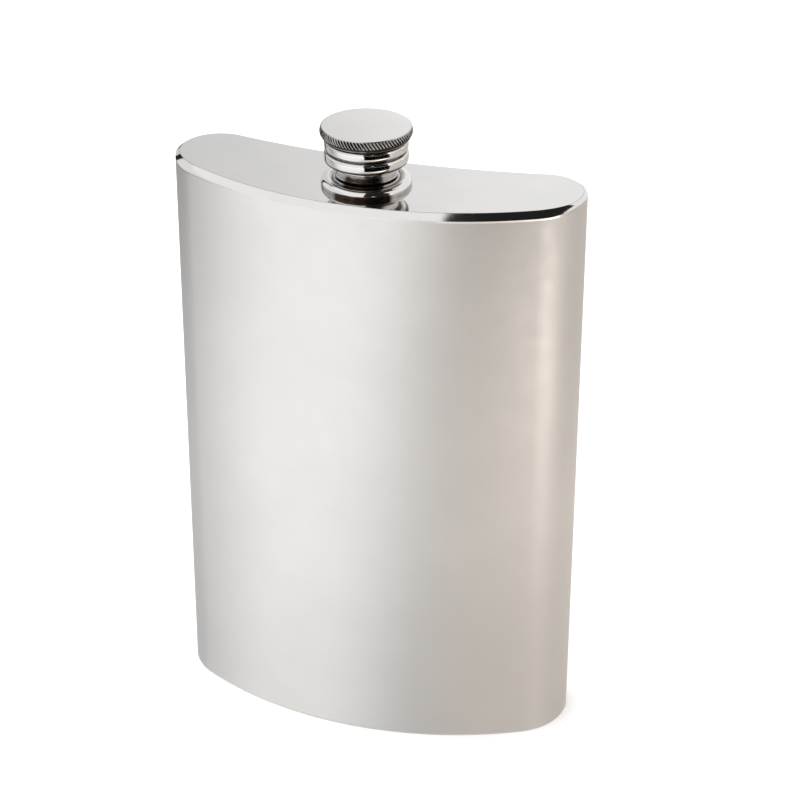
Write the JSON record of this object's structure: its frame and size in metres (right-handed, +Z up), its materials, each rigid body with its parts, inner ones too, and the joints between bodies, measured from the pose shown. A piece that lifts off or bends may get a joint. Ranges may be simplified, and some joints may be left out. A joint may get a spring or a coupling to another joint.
{
  "type": "hip flask",
  "caption": "Kidney-section metal hip flask with satin curved walls, a bevelled flat top, a round neck collar and a turned screw cap with a knurled rim.",
  "frame": {"origin": "on the underside of the base plate, straight below the axis of the neck and cap", "axes": "+Z up along the neck axis, -Y out of the convex front, +Y out of the hollow back, +X to the right of a person facing the front"},
  "size_m": [0.09, 0.0306, 0.1424],
  "materials": {
    "satin_pewter": "satin, softly buffed",
    "polished_pewter": "mirror polished",
    "solder": "dull, as flowed",
    "brass": "machined",
    "cork": "fine agglomerated cork"
  },
  "bodies": {
    "flask": {"front_panel": "satin_pewter", "back_panel": "satin_pewter", "left_seam": "solder", "right_seam": "solder", "top_plate": "polished_pewter", "base_plate": "satin_pewter", "top_solder": "solder", "base_solder": "solder", "neck_tube": "polished_pewter", "neck_collar": "polished_pewter", "neck_solder": "solder"},
    "washer": {"cap_washer": "cork"},
    "cap": {"cap_shell": "polished_pewter", "cap_top_disc": "satin_pewter", "cap_thread_insert": "brass"}
  },
  "joints": [
    {"name": "cap_rise", "type": "slide", "parent": "flask", "child": "washer", "axis": [0, 0, 1], "range_m": [0, 0.012]},
    {"name": "cap_turn", "type": "hinge", "parent": "washer", "child": "cap", "pos_m": [0, 0, 0.14], "axis": [0, 0, 1], "range_deg": [0, 2160]}
  ],
  "couplings": [
    {"joint": "cap_turn", "follows": "cap_rise", "rad_per_m": 3141.6}
  ]
}
